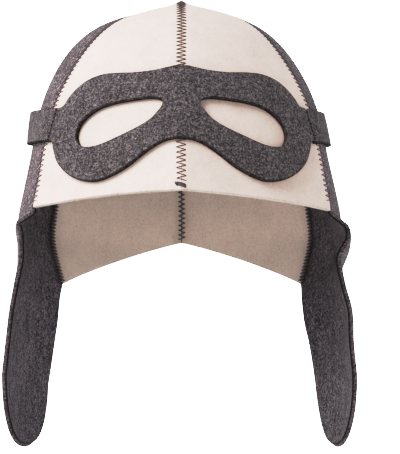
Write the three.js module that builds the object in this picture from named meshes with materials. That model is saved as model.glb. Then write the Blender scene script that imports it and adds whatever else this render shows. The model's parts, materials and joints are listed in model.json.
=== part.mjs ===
import * as THREE from 'three';
import { mergeVertices } from 'three/addons/utils/BufferGeometryUtils.js';

// Felt sauna hat in the form of a flying cap: six gores, two ear flaps, felt goggles and their strap.
// Millimetres, +Z up, the front towards -Y. The origin is the middle of the head opening,
// level with the front rim.

// Felt
const feltThickness = 3;
const seamGap = 0.3;
const layerGap = 0.3;
const widestMitre = 0.3;

// Crown, measured on the outside
const crownHeight = 138;
const frontReach = 100;
const backReach = 100;
const frontCornerOut = 87;
const frontCornerForward = 50;
const backCornerOut = 84.5;
const backCornerBack = 51;
const goreBow = 7;
const crestHeight = 4;
const crestSharpness = 4;
const crownEnd = 0.993;

// Back rim: it hangs at the back corners and arches up to its middle
const napeDrop = 29;
const napeArchTop = 8;
const napeArchPower = 1.15;

// Ear flaps
const flapDrop = 133;
const flapFrontOut = 98;
const flapFrontAhead = 37;
const flapBackOut = 80;
const flapBackAft = 38;
const flapBow = 9.5;
const flapEndWidth = 5;

// The two sides of the crown and their ear flaps are a little different, as soft felt is. sideSwell fills
// the side out below the top, toeOut and backTurn set the flap's end and its back edge outward,
// endPinch narrows its end, and edgeWave is how far its front edge waves in and out.
const hatSides = [
  {
    name: 'left', side: -1, sideReach: 99.3, sideSwell: 5, strapSideRise: 60.5, strapLift: 2.5,
    toeOut: 4.5, backTurn: 0, endPinch: 0, edgeWave: 0.4,
  },
  {
    name: 'right', side: 1, sideReach: 96.8, sideSwell: 0.5, strapSideRise: 59.5, strapLift: 0.3,
    toeOut: 1, backTurn: 3, endPinch: 7, edgeWave: 6,
  },
];
const edgeWaveLength = 40;
const edgeWaveCount = 1.6;
const edgeWaveStart = 0.08;
const endFullness = 1.14;
const backTurnDrops = { from: 0.3, to: 0.6 };

// Goggles: a flat cut-out, measured across and upward from the middle of the front rim
const goggleHalfWidth = 76.5;
const goggleRise = 10.4;
const goggleHeight = 67;
const eyeFromMiddle = 9.8;
const eyeRise = 31.6;
const eyeWidth = 49.1;
const eyeHeight = 26;

// Strap: it leaves the goggles' ends and climbs a little towards the back
const strapHeight = 19.6;
const strapBackRise = 74;
const strapClimb = 0.2;
const strapLiftAtFoot = 0.2;

// Where the strap stands off the crown and where it starts to climb, in gores from the middle of the front
const strapSwellPlaces = { from: 0.95, to: 2.1 };
const strapClimbPlaces = { from: 1.5, to: 3 };

// Crown sections, from the nape to the top. along is the share of the way up a seam,
// rise a share of crownHeight, and the others shares of the sizes that they are named after.
const crownSections = [
  { along: -0.16, rise: -0.215, front: 1.01, frontCorner: 1.01, side: 1.0, backCorner: 0.915, back: 1.0 },
  { along: 0.0, rise: 0.0, front: 1.0, frontCorner: 1.0, side: 1.0, backCorner: 1.0, back: 1.0 },
  { along: 0.11, rise: 0.14, front: 0.965, frontCorner: 0.966, side: 0.972, backCorner: 0.99, back: 0.98 },
  { along: 0.23, rise: 0.29, front: 0.915, frontCorner: 0.93, side: 0.93, backCorner: 0.95, back: 0.945 },
  { along: 0.37, rise: 0.47, front: 0.84, frontCorner: 0.866, side: 0.88, backCorner: 0.885, back: 0.875 },
  { along: 0.49, rise: 0.62, front: 0.75, frontCorner: 0.77, side: 0.812, backCorner: 0.79, back: 0.785 },
  { along: 0.61, rise: 0.76, front: 0.625, frontCorner: 0.645, side: 0.7, backCorner: 0.66, back: 0.66 },
  { along: 0.72, rise: 0.87, front: 0.47, frontCorner: 0.5, side: 0.56, backCorner: 0.51, back: 0.515 },
  { along: 0.82, rise: 0.94, front: 0.305, frontCorner: 0.335, side: 0.4, backCorner: 0.345, back: 0.355 },
  { along: 0.915, rise: 0.98, front: 0.145, frontCorner: 0.16, side: 0.2, backCorner: 0.165, back: 0.175 },
  { along: 1.0, rise: 1.0, front: 0, frontCorner: 0, side: 0, backCorner: 0, back: 0 },
];

// How much of goreBow, of crestHeight and of a side's sideSwell there is on the way up.
const crownFullness = [
  { along: -0.16, bow: 1.0, crest: 0, swell: 0 },
  { along: 0.23, bow: 0.9, crest: 0, swell: 0.05 },
  { along: 0.49, bow: 1.0, crest: 0, swell: 0.5 },
  { along: 0.61, bow: 1.0, crest: 0.2, swell: 0.85 },
  { along: 0.72, bow: 0.9, crest: 0.7, swell: 1.0 },
  { along: 0.82, bow: 0.6, crest: 1.0, swell: 0.9 },
  { along: 0.915, bow: 0.25, crest: 0.9, swell: 0.5 },
  { along: 1.0, bow: 0, crest: 0, swell: 0 },
];

// Rows across a side panel between the rim and the root of its flap. The front edge steps in to the flap,
// while the back edge still follows the seam down to the back corner: seamDrop is a share of napeDrop.
const shoulderRows = [
  { frontDrop: 0.04, frontOut: 0.978, frontAhead: 1.0, seamDrop: 0.5, bow: 0.93 },
  { frontDrop: 0.1, frontOut: 0.963, frontAhead: 0.985, seamDrop: 1.0, bow: 1.0 },
];

// Rows across a flap, down to where its rounded end starts. Drops are shares of flapDrop, and the others
// shares of the sizes that they are named after.
const flapRows = [
  {
    frontDrop: 0.19, frontOut: 0.963, frontAhead: 0.98,
    backDrop: 0.3, backOut: 0.965, backAft: 1, bow: 1,
  },
  {
    frontDrop: 0.3, frontOut: 0.983, frontAhead: 0.97,
    backDrop: 0.4, backOut: 0.97, backAft: 0.985, bow: 0.97,
  },
  {
    frontDrop: 0.42, frontOut: 1.004, frontAhead: 0.96,
    backDrop: 0.5, backOut: 0.985, backAft: 0.97, bow: 0.88,
  },
  {
    frontDrop: 0.56, frontOut: 1.017, frontAhead: 0.95,
    backDrop: 0.61, backOut: 1.005, backAft: 0.95, bow: 0.7,
  },
  {
    frontDrop: 0.7, frontOut: 1.03, frontAhead: 0.94,
    backDrop: 0.7, backOut: 1.022, backAft: 0.93, bow: 0.5,
  },
];

// Outline of the right half of the goggles, from the middle of the top round to the middle of the bottom:
// shares of goggleHalfWidth and goggleHeight. The strap starts on the straight end between two named rows.
const goggleRim = [
  { across: 0.0, up: 1.0 },
  { across: 0.09, up: 0.982 },
  { across: 0.195, up: 0.964 },
  { across: 0.335, up: 0.963 },
  { across: 0.465, up: 0.982 },
  { across: 0.585, up: 0.99 },
  { across: 0.7, up: 0.955 },
  { across: 0.79, up: 0.88 },
  { across: 0.845, up: 0.805 },
  { across: 0.875, up: 0.752 },
  { across: 0.925, up: 0.738, strap: 'top' },
  { across: 0.957, up: 0.593 },
  { across: 0.99, up: 0.448, strap: 'foot' },
  { across: 0.958, up: 0.415 },
  { across: 0.948, up: 0.35 },
  { across: 0.91, up: 0.217 },
  { across: 0.83, up: 0.097 },
  { across: 0.727, up: 0.025 },
  { across: 0.61, up: 0.0 },
  { across: 0.494, up: 0.035 },
  { across: 0.377, up: 0.105 },
  { across: 0.273, up: 0.195 },
  { across: 0.175, up: 0.27 },
  { across: 0.09, up: 0.31 },
  { across: 0.0, up: 0.32 },
];

// Outline of the right eye opening, level with the rows above and then back up beside the middle:
// shares of eyeWidth from its inner end and of eyeHeight.
const goggleEye = [
  { across: 0.055, up: 0.97 },
  { across: 0.147, up: 1.0 },
  { across: 0.27, up: 1.0 },
  { across: 0.41, up: 0.992 },
  { across: 0.574, up: 0.973 },
  { across: 0.717, up: 0.923 },
  { across: 0.83, up: 0.823 },
  { across: 0.91, up: 0.7 },
  { across: 0.961, up: 0.585 },
  { across: 0.985, up: 0.477 },
  { across: 0.994, up: 0.419 },
  { across: 1.0, up: 0.323 },
  { across: 0.992, up: 0.219 },
  { across: 0.978, up: 0.146 },
  { across: 0.957, up: 0.077 },
  { across: 0.91, up: 0.023 },
  { across: 0.84, up: 0.0 },
  { across: 0.758, up: 0.008 },
  { across: 0.666, up: 0.05 },
  { across: 0.554, up: 0.123 },
  { across: 0.432, up: 0.208 },
  { across: 0.31, up: 0.304 },
  { across: 0.208, up: 0.4 },
  { across: 0.126, up: 0.508 },
  { across: 0.059, up: 0.65 },
  { across: 0.014, up: 0.765 },
  { across: 0.0, up: 0.862 },
  { across: 0.016, up: 0.935 },
];

// How finely the faces are divided
const goreColumns = 8;
const goreRows = 12;
const sideColumns = 9;
const endRows = 6;
const goggleRings = 3;
const strapSteps = { front: 2, side: 9, back: 8 };
const strapRows = 2;
const slopeStep = 1e-3;
const weldDistance = 1e-3;
const halvings = 40;
const settlingSteps = 12;

// Colours
const whiteFelt = { color: 0xe6ddd6, roughness: 0.95, metalness: 0 };
const greyFelt = { color: 0x5a5255, roughness: 0.95, metalness: 0 };
const goggleFelt = { color: 0x575054, roughness: 0.95, metalness: 0 };

const gores = {
  front: { from: 'front', to: 'frontCorner' },
  side: { from: 'frontCorner', to: 'backCorner' },
  back: { from: 'backCorner', to: 'back' },
};

// Value of one column of a table at a place between its rows, on a smooth curve through them.
function columnAt(rows, key, column, place) {
  let i = 0;
  while (i < rows.length - 2 && place > rows[i + 1][key]) {
    i += 1;
  }
  const slope = (k) => {
    const before = rows[Math.max(k - 1, 0)];
    const after = rows[Math.min(k + 1, rows.length - 1)];
    return (after[column] - before[column]) / (after[key] - before[key]);
  };
  const start = rows[i];
  const end = rows[i + 1];
  const span = end[key] - start[key];
  const t = (place - start[key]) / span;
  const t2 = t * t;
  const t3 = t2 * t;
  return (2 * t3 - 3 * t2 + 1) * start[column] + (t3 - 2 * t2 + t) * span * slope(i)
    + (3 * t2 - 2 * t3) * end[column] + (t3 - t2) * span * slope(i + 1);
}

function crownAt(column, along) {
  return columnAt(crownSections, 'along', column, along);
}

function fullnessAt(column, along) {
  return columnAt(crownFullness, 'along', column, along);
}

// Share of the way up a seam at which the crown has this height.
function alongAtHeight(height) {
  let low = crownSections[0].along;
  let high = crownEnd;
  for (let step = 0; step < halvings; step += 1) {
    const middle = (low + high) / 2;
    if (crownAt('rise', middle) * crownHeight < height) {
      low = middle;
    } else {
      high = middle;
    }
  }
  return (low + high) / 2;
}

// Seams of the right half, on the outside of the felt.
function seamPoint(seam, along) {
  const share = crownAt(seam, along);
  const height = crownAt('rise', along) * crownHeight;
  const place = {
    front: [0, -frontReach],
    frontCorner: [frontCornerOut, -frontCornerForward],
    backCorner: [backCornerOut, backCornerBack],
    back: [0, backReach],
  }[seam];
  return new THREE.Vector3(place[0] * share, place[1] * share, height);
}

// Point on the outside of a gore, drawn on the right, across from one seam to the other.
function gorePoint(name, across, along, hatSide) {
  const from = seamPoint(gores[name].from, along);
  const to = seamPoint(gores[name].to, along);
  let bow = fullnessAt('bow', along) * goreBow;
  if (name === 'side') {
    const reach = crownAt('side', along) * hatSide.sideReach;
    bow = reach + fullnessAt('swell', along) * hatSide.sideSwell - (from.x + to.x) / 2;
  }
  const outward = new THREE.Vector3(to.y - from.y, from.x - to.x, 0).normalize();
  return from.clone().lerp(to, across).addScaledVector(outward, 4 * across * (1 - across) * bow);
}

// The felt's edges stand up in a crest along the front and back seams, towards the top.
function crestAt(name, across, along) {
  const fromSeam = { front: across, back: 1 - across }[name];
  const crest = fullnessAt('crest', along) * crestHeight;
  return new THREE.Vector3(0, 0, crest * (1 - fromSeam) ** crestSharpness);
}

function surfaceNormal(point, across, along) {
  const acrossStep = point(across + slopeStep, along).sub(point(across - slopeStep, along));
  const alongStep = point(across, along + slopeStep).sub(point(across, along - slopeStep));
  return acrossStep.cross(alongStep).normalize();
}

function goreNormal(name, across, along, hatSide) {
  return surfaceNormal((u, v) => gorePoint(name, u, v, hatSide), across, along);
}

// Normals of the two gores that meet at a seam.
function seamNormals(seam, along, hatSide) {
  const normalAt = (name, across) => goreNormal(name, across, along, hatSide);
  const acrossMiddle = (normal) => [normal, new THREE.Vector3(-normal.x, normal.y, normal.z)];
  return {
    front: () => acrossMiddle(normalAt('front', 0)),
    frontCorner: () => [normalAt('front', 1), normalAt('side', 0)],
    backCorner: () => [normalAt('side', 1), normalAt('back', 0)],
    back: () => acrossMiddle(normalAt('back', 1)),
  }[seam]();
}

// Point a given distance off the outside of a seam, where the layers of both gores bend on a mitre.
function seamLayerPoint(seam, along, off, hatSide) {
  const [one, other] = seamNormals(seam, along, hatSide);
  const bend = Math.cos(one.angleTo(other) / 2);
  return seamPoint(seam, along).addScaledVector(one.add(other).normalize(), off / bend);
}

// A closed solid from a grid of points on the outside and the same grid on the inside.
function closedSheet(outer, inner, flip) {
  const rows = outer.length;
  const columns = outer[0].length;
  const positions = [...outer.flat(), ...inner.flat()].flatMap((p) => [p.x, p.y, p.z]);
  const outside = (j, i) => j * columns + i;
  const inside = (j, i) => rows * columns + j * columns + i;
  const index = [];
  const quad = (a, b, c, d) => {
    index.push(a, b, c, a, c, d);
  };
  for (let j = 0; j < rows - 1; j += 1) {
    for (let i = 0; i < columns - 1; i += 1) {
      quad(outside(j, i), outside(j, i + 1), outside(j + 1, i + 1), outside(j + 1, i));
      quad(inside(j, i), inside(j + 1, i), inside(j + 1, i + 1), inside(j, i + 1));
    }
    quad(outside(j, 0), outside(j + 1, 0), inside(j + 1, 0), inside(j, 0));
    const last = columns - 1;
    quad(outside(j, last), inside(j, last), inside(j + 1, last), outside(j + 1, last));
  }
  for (let i = 0; i < columns - 1; i += 1) {
    const last = rows - 1;
    quad(outside(0, i), inside(0, i), inside(0, i + 1), outside(0, i + 1));
    quad(outside(last, i), outside(last, i + 1), inside(last, i + 1), inside(last, i));
  }
  if (flip) {
    index.reverse();
  }
  const geometry = new THREE.BufferGeometry();
  geometry.setAttribute('position', new THREE.Float32BufferAttribute(positions, 3));
  geometry.setIndex(index);
  return geometry;
}

function mirrored(grid, side) {
  return grid.map((row) => row.map((p) => new THREE.Vector3(side * p.x, p.y, p.z)));
}

// A felt panel from its rows, the lowest first. A row gives a point for a place across the panel, and says
// which seam it starts and ends at. There the inside of the felt is cut back to the seam's mitre.
function feltPanel(rows, columns, hatSide) {
  const normalAt = (j, across) => {
    const below = rows[Math.max(j - 1, 0)];
    const above = rows[Math.min(j + 1, rows.length - 1)];
    const acrossStep = rows[j].point(across + slopeStep).sub(rows[j].point(across - slopeStep));
    return acrossStep.cross(above.point(across).sub(below.point(across))).normalize();
  };
  const outer = [];
  const inner = [];
  rows.forEach(({ point, crest, along, startSeam, endSeam }, j) => {
    const chord = point(1).sub(point(0));
    const width = chord.length();
    const toNext = chord.normalize().multiplyScalar(seamGap / 2);
    const margin = seamGap / 2 / width;
    const mitreShare = (seam, share) => {
      if (seam === undefined) {
        return 0;
      }
      const [one, other] = seamNormals(seam, along[share], hatSide);
      return Math.min((feltThickness * Math.tan(one.angleTo(other) / 2)) / width, widestMitre);
    };
    const start = margin + mitreShare(startSeam, 0);
    const end = margin + mitreShare(endSeam, 1);
    const outerRow = [];
    const innerRow = [];
    for (let i = 0; i <= columns; i += 1) {
      const share = i / columns;
      const place = margin + share * (1 - 2 * margin);
      outerRow.push(crest ? point(place).add(crest(place)) : point(place));
      const across = start + share * (1 - start - end);
      innerRow.push(point(across).addScaledVector(normalAt(j, across), -feltThickness));
    }
    if (startSeam !== undefined) {
      innerRow[0] = seamLayerPoint(startSeam, along[0], -feltThickness, hatSide).add(toNext);
    }
    if (endSeam !== undefined) {
      innerRow[columns] = seamLayerPoint(endSeam, along[1], -feltThickness, hatSide).sub(toNext);
    }
    outer.push(outerRow);
    inner.push(innerRow);
  });
  return closedSheet(mirrored(outer, hatSide.side), mirrored(inner, hatSide.side), hatSide.side < 0);
}

// Height of the rim of a front or back gore, across it.
function rimHeight(name, across) {
  if (name === 'front') {
    return 0;
  }
  const fromMiddle = 1 - across;
  return napeArchTop - (napeArchTop + napeDrop) * fromMiddle ** napeArchPower;
}

// Places up a seam where the rows of the panels start and end, from the rim or the back corner to the top.
function seamStations(fromBackCorner) {
  const stations = [];
  for (let j = 0; j <= goreRows; j += 1) {
    stations.push((crownEnd * j) / goreRows);
  }
  if (fromBackCorner) {
    for (const { seamDrop } of shoulderRows) {
      stations.unshift(alongAtHeight(-seamDrop * napeDrop));
    }
  }
  return stations;
}

function gorePanel(name, hatSide) {
  const { from, to } = gores[name];
  const stations = seamStations(name === 'back');
  const [lowest] = stations;
  const rows = stations.map((station) => {
    const along = (across) => {
      const low = alongAtHeight(rimHeight(name, THREE.MathUtils.clamp(across, 0, 1)));
      return low + ((station - lowest) * (crownEnd - low)) / (crownEnd - lowest);
    };
    return {
      point: (across) => gorePoint(name, across, along(across), hatSide),
      crest: (across) => crestAt(name, across, along(across)),
      along: [along(0), along(1)],
      startSeam: from,
      endSeam: to,
    };
  });
  return feltPanel(rows, goreColumns, hatSide);
}

// Row across a side panel between its front edge and its back edge, with a bow outward.
function bowedRow(front, back, bow) {
  const outward = new THREE.Vector3(back.y - front.y, front.x - back.x, 0).normalize();
  return (across) => front.clone().lerp(back, across)
    .addScaledVector(outward, 4 * across * (1 - across) * bow);
}

// Front edge of a side panel below the rim: it waves where it folds, and toes out towards its end.
// The waves die out after edgeWaveCount of them.
function flapFront(row, { edgeWave, toeOut }) {
  const drop = row.frontDrop * flapDrop;
  const waves = drop / edgeWaveLength;
  const size = edgeWave * Math.max(0, 1 - waves / edgeWaveCount);
  const wave = size * Math.sin(2 * Math.PI * (waves - edgeWaveStart));
  const out = row.frontOut * flapFrontOut + wave + toeOut * row.frontDrop;
  return new THREE.Vector3(out, -row.frontAhead * flapFrontAhead, -drop);
}

function flapBack(row, { toeOut, backTurn }) {
  const turned = THREE.MathUtils.smoothstep(row.backDrop, backTurnDrops.from, backTurnDrops.to);
  const out = row.backOut * flapBackOut + toeOut * row.backDrop + backTurn * turned;
  return new THREE.Vector3(out, row.backAft * flapBackAft, -row.backDrop * flapDrop);
}

function sidePanel(hatSide) {
  const rows = [];
  for (const row of shoulderRows) {
    const along = alongAtHeight(-row.seamDrop * napeDrop);
    rows.unshift({
      point: bowedRow(flapFront(row, hatSide), seamPoint('backCorner', along), row.bow * flapBow),
      along: [0, along],
      endSeam: 'backCorner',
    });
  }
  const edges = flapRows.map((row) => ({
    front: flapFront(row, hatSide),
    back: flapBack(row, hatSide),
    bow: row.bow * flapBow,
  }));
  // The rounded end: a half ellipse, a little fuller than a plain one, which can pinch in at its back edge
  const last = edges[edges.length - 1];
  const halfWidth = last.front.distanceTo(last.back) / 2;
  const middle = last.front.clone().lerp(last.back, 0.5);
  for (let k = 1; k <= endRows; k += 1) {
    const turn = (k / endRows) * Math.acos((flapEndWidth / 2 / halfWidth) ** endFullness);
    const shrink = Math.cos(turn) ** (1 / endFullness);
    const down = new THREE.Vector3(0, 0, -(flapDrop + last.front.z) * Math.sin(turn));
    const pinch = (hatSide.endPinch * Math.sin(2 * turn)) / halfWidth / 2;
    edges.push({
      front: middle.clone().lerp(last.front, shrink).add(down),
      back: middle.clone().lerp(last.back, shrink - pinch).add(down),
      bow: last.bow * shrink,
    });
  }
  for (const { front, back, bow } of edges) {
    rows.unshift({ point: bowedRow(front, back, bow) });
  }
  for (const along of seamStations(false)) {
    rows.push({
      point: (across) => gorePoint('side', across, along, hatSide),
      along: [along, along],
      startSeam: 'frontCorner',
      endSeam: 'backCorner',
    });
  }
  return feltPanel(rows, sideColumns, hatSide);
}

// Place across the front gore that lies this far out from the middle.
function acrossFront(out, along) {
  let low = 0;
  let high = 1;
  for (let step = 0; step < halvings; step += 1) {
    const middle = (low + high) / 2;
    if (gorePoint('front', middle, along).x < out) {
      low = middle;
    } else {
      high = middle;
    }
  }
  return (low + high) / 2;
}

// Point a given distance off the outside of the crown. place counts gores from the middle of the front:
// 0 to 1 is a front gore, 1 to 2 a side and 2 to 3 a back gore. At a seam the layers bend on a mitre.
function layerPoint(place, along, off, hatSide) {
  const name = ['front', 'side', 'back'][Math.min(Math.floor(place), 2)];
  const across = place - ['front', 'side', 'back'].indexOf(name);
  const point = gorePoint(name, across, along, hatSide);
  const seam = ['front', 'frontCorner', 'backCorner', 'back'][place];
  if (seam === undefined) {
    return point.addScaledVector(goreNormal(name, across, along, hatSide), off);
  }
  return seamLayerPoint(seam, along, off, hatSide);
}

// The goggles are rings of points from each eye opening out to the rim, laid on the front gores.
function gogglePlate() {
  const stations = goggleEye.length;
  const lastRim = goggleRim.length - 1;
  const outline = goggleEye.map((eye, i) => {
    const rim = goggleRim[Math.min(i, lastRim)];
    const upTheMiddle = Math.max(0, (i - lastRim) / (stations - lastRim));
    return {
      eyeOut: eyeFromMiddle + eye.across * eyeWidth,
      eyeUp: eyeRise + eye.up * eyeHeight,
      rimOut: rim.across * goggleHalfWidth,
      rimUp: goggleRise + goggleHeight * THREE.MathUtils.lerp(rim.up, 1, upTheMiddle),
    };
  });
  const positions = [];
  const index = [];
  const quad = (side, a, b, c, d) => {
    index.push(...(side < 0 ? [a, b, c, a, c, d] : [a, c, b, a, d, c]));
  };
  for (const side of [-1, 1]) {
    const first = positions.length / 3;
    for (const off of [layerGap, layerGap + feltThickness]) {
      for (let ring = 0; ring <= goggleRings; ring += 1) {
        for (const { eyeOut, eyeUp, rimOut, rimUp } of outline) {
          const share = ring / goggleRings;
          const out = THREE.MathUtils.lerp(eyeOut, rimOut, share);
          const along = alongAtHeight(THREE.MathUtils.lerp(eyeUp, rimUp, share));
          const place = out === 0 ? 0 : acrossFront(out, along);
          const point = layerPoint(place, along, off);
          positions.push(side * point.x, point.y, point.z);
        }
      }
    }
    const at = (layer, ring, i) => first + (layer * (goggleRings + 1) + ring) * stations + (i % stations);
    for (let i = 0; i < stations; i += 1) {
      for (let ring = 0; ring < goggleRings; ring += 1) {
        quad(side, at(1, ring, i), at(1, ring + 1, i), at(1, ring + 1, i + 1), at(1, ring, i + 1));
        quad(side, at(0, ring, i), at(0, ring, i + 1), at(0, ring + 1, i + 1), at(0, ring + 1, i));
      }
      quad(side, at(0, 0, i), at(1, 0, i), at(1, 0, i + 1), at(0, 0, i + 1));
      if (i < lastRim) {
        const r = goggleRings;
        quad(side, at(0, r, i), at(0, r, i + 1), at(1, r, i + 1), at(1, r, i));
      }
    }
  }
  const geometry = new THREE.BufferGeometry();
  geometry.setAttribute('position', new THREE.Float32BufferAttribute(positions, 3));
  geometry.setIndex(index);
  return mergeVertices(geometry, weldDistance);
}

// Place on the crown of the strap's middle line plus a share of its half height.
function strapAlong(place, share, hatSide) {
  const { strapSideRise } = hatSide;
  let along = alongAtHeight(strapSideRise);
  for (let step = 0; step < settlingSteps; step += 1) {
    const toBack = THREE.MathUtils.smoothstep(place, strapClimbPlaces.from, strapClimbPlaces.to);
    const middleRise = THREE.MathUtils.lerp(strapSideRise, strapBackRise, toBack);
    const rise = middleRise + strapClimb * layerPoint(place, along, 0, hatSide).y * (1 - toBack);
    along = alongAtHeight(rise + (share * strapHeight) / 2);
  }
  return along;
}

// Where the strap starts: just past the straight end of the goggles.
function strapStart(share, hatSide) {
  const top = goggleRim.find((row) => row.strap === 'top');
  const foot = goggleRim.find((row) => row.strap === 'foot');
  let place = foot.across;
  for (let step = 0; step < settlingSteps; step += 1) {
    const along = strapAlong(place, share, hatSide);
    const up = (crownAt('rise', along) * crownHeight - goggleRise) / goggleHeight;
    const upEnd = (up - foot.up) / (top.up - foot.up);
    const out = THREE.MathUtils.lerp(foot.across, top.across, upEnd) * goggleHalfWidth;
    place = acrossFront(out, along);
  }
  return place + (2 * layerGap) / frontCornerOut;
}

function strapBand() {
  const liftAt = (place, share, { strapLift }) => {
    const { from, to } = strapSwellPlaces;
    const swell = Math.sin(Math.PI * THREE.MathUtils.clamp((place - from) / (to - from), 0, 1)) ** 2;
    return strapLift * swell * THREE.MathUtils.lerp(strapLiftAtFoot, 1, (share + 1) / 2);
  };
  const half = (hatSide) => {
    const rows = [];
    for (let r = 0; r <= strapRows; r += 1) {
      const share = (2 * r) / strapRows - 1;
      const start = strapStart(share, hatSide);
      const places = [];
      for (let i = 0; i < strapSteps.front; i += 1) {
        places.push(THREE.MathUtils.lerp(start, 1, i / strapSteps.front));
      }
      for (let i = 0; i < strapSteps.side; i += 1) {
        places.push(1 + i / strapSteps.side);
      }
      for (let i = 0; i <= strapSteps.back; i += 1) {
        places.push(2 + i / strapSteps.back);
      }
      rows.push(places.map((place) => {
        const along = strapAlong(place, share, hatSide);
        const inside = layerGap + liftAt(place, share, hatSide);
        return [inside, inside + feltThickness].map((off) => {
          const point = layerPoint(place, along, off, hatSide);
          point.x *= hatSide.side;
          return point;
        });
      }));
    }
    return rows;
  };
  const [left, right] = hatSides.map(half);
  const rows = right.map((row, r) => [...row, ...left[r].slice(0, -1).reverse()]);
  const face = (layer) => rows.map((row) => row.map((pair) => pair[layer]));
  return closedSheet(face(1), face(0), false);
}

const hat = new THREE.Group();

function addPiece(name, geometry, finish) {
  const mesh = new THREE.Mesh(geometry, new THREE.MeshStandardMaterial(finish));
  mesh.geometry.computeVertexNormals();
  mesh.name = name;
  hat.add(mesh);
}

for (const hatSide of hatSides) {
  addPiece(`front_${hatSide.name}_panel`, gorePanel('front', hatSide), whiteFelt);
  addPiece(`back_${hatSide.name}_panel`, gorePanel('back', hatSide), whiteFelt);
  addPiece(`${hatSide.name}_side_panel`, sidePanel(hatSide), greyFelt);
}
addPiece('goggles', gogglePlate(), goggleFelt);
addPiece('goggle_strap', strapBand(), goggleFelt);

export default hat;
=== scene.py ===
import json
import math

import bpy
import numpy as np
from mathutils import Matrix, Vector, noise

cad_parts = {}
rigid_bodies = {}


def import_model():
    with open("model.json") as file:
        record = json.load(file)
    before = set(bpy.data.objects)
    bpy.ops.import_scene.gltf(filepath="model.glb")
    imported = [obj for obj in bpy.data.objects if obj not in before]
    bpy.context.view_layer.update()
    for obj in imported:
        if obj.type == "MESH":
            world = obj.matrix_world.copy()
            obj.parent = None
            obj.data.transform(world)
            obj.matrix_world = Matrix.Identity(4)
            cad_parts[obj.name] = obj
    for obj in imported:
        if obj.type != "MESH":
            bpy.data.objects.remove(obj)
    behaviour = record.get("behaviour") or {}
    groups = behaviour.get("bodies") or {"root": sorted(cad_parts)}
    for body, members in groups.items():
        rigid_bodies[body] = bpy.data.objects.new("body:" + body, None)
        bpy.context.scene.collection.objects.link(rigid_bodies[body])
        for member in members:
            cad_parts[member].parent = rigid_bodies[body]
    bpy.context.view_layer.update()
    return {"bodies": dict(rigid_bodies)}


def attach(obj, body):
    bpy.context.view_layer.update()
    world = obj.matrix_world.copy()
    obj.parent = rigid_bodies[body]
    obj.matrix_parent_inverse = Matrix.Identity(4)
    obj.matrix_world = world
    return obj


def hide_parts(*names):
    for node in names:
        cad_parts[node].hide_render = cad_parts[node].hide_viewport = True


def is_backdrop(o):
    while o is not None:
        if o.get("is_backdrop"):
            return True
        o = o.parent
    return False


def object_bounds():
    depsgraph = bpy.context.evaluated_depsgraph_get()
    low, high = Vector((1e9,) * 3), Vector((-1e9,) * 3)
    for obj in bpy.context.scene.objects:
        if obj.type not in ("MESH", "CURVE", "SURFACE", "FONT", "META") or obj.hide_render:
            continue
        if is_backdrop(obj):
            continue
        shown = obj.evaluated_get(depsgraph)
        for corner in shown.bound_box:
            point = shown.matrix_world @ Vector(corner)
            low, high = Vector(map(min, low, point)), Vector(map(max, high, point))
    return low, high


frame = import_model()
bodyName = list(frame["bodies"])[0]
mm = 0.001

# Sizes are in millimetres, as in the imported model, until newObject puts them in metres.
felt = {
    "thickness": 3.0,
    "gap": 0.05,  # between two panels at a seam
    "layerGap": 0.3,
    "layerEase": 0.05,  # how soon a layer bends over a seam, in gores
    "edgeRound": 0.5,
    "edgeRoom": 0.42,  # the most of a face's side that the rounding takes
    "mitreReach": 9.0,
    "mitreShare": 0.45,
    "rollDepth": 0.4,  # the cut edges roll down into a seam
    "rollWidth": 2.2,
    "dimpleDepth": 0.28,  # where the thread pulls
    "dimpleWidth": 1.1,
    # painted shade on the inside's border along every cut edge
    "edgeShade": 0.5,
    "seamShadeReach": 6.5,  # painted shade inside the head along a seam
}

stitch = {"period": 3.2, "halfWidth": 3.2, "sink": 0.35, "lift": 0.3}

crown = {
    "height": 138.0,
    "frontReach": 100.0,
    "backReach": 100.0,
    "frontCornerOut": 87.0,
    "frontCornerAhead": 50.0,
    "backCornerOut": 84.5,
    "backCornerBack": 51.0,
    "bow": 7.0,
    "crestHeight": 4.0,
    "crestSharpness": 4.0,
    "end": 0.996,
    "napeDrop": 29.0,
    "napeArchTop": 8.0,
    "napeArchPower": 1.15,
}

# shares of the sizes above, at places from below the rim up to the apex
crownSections = {
    "along": [-0.16, 0.0, 0.11, 0.23, 0.37, 0.49, 0.61, 0.72, 0.82, 0.915, 1.0],
    "rise": [-0.215, 0.0, 0.14, 0.29, 0.47, 0.62, 0.76, 0.87, 0.94, 0.98, 1.0],
    "front": [1.01, 1.0, 0.965, 0.915, 0.84, 0.75, 0.625, 0.47, 0.305, 0.145, 0.0],
    "frontCorner": [1.01, 1.0, 0.966, 0.93, 0.866, 0.77, 0.645, 0.5, 0.335, 0.16, 0.0],
    "side": [1.0, 1.0, 0.972, 0.93, 0.88, 0.812, 0.7, 0.56, 0.4, 0.2, 0.0],
    "backCorner": [0.915, 1.0, 0.99, 0.95, 0.885, 0.79, 0.66, 0.51, 0.345, 0.165, 0.0],
    "back": [1.0, 1.0, 0.98, 0.945, 0.875, 0.785, 0.66, 0.515, 0.355, 0.175, 0.0],
}

crownFullness = {
    "along": [-0.16, 0.23, 0.49, 0.61, 0.72, 0.82, 0.915, 1.0],
    "bow": [1.0, 0.9, 1.0, 1.0, 0.9, 0.6, 0.25, 0.0],
    "crest": [0.0, 0.0, 0.0, 0.2, 0.7, 1.0, 0.9, 0.0],
    "swell": [0.0, 0.05, 0.5, 0.85, 1.0, 0.9, 0.5, 0.0],
}

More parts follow.
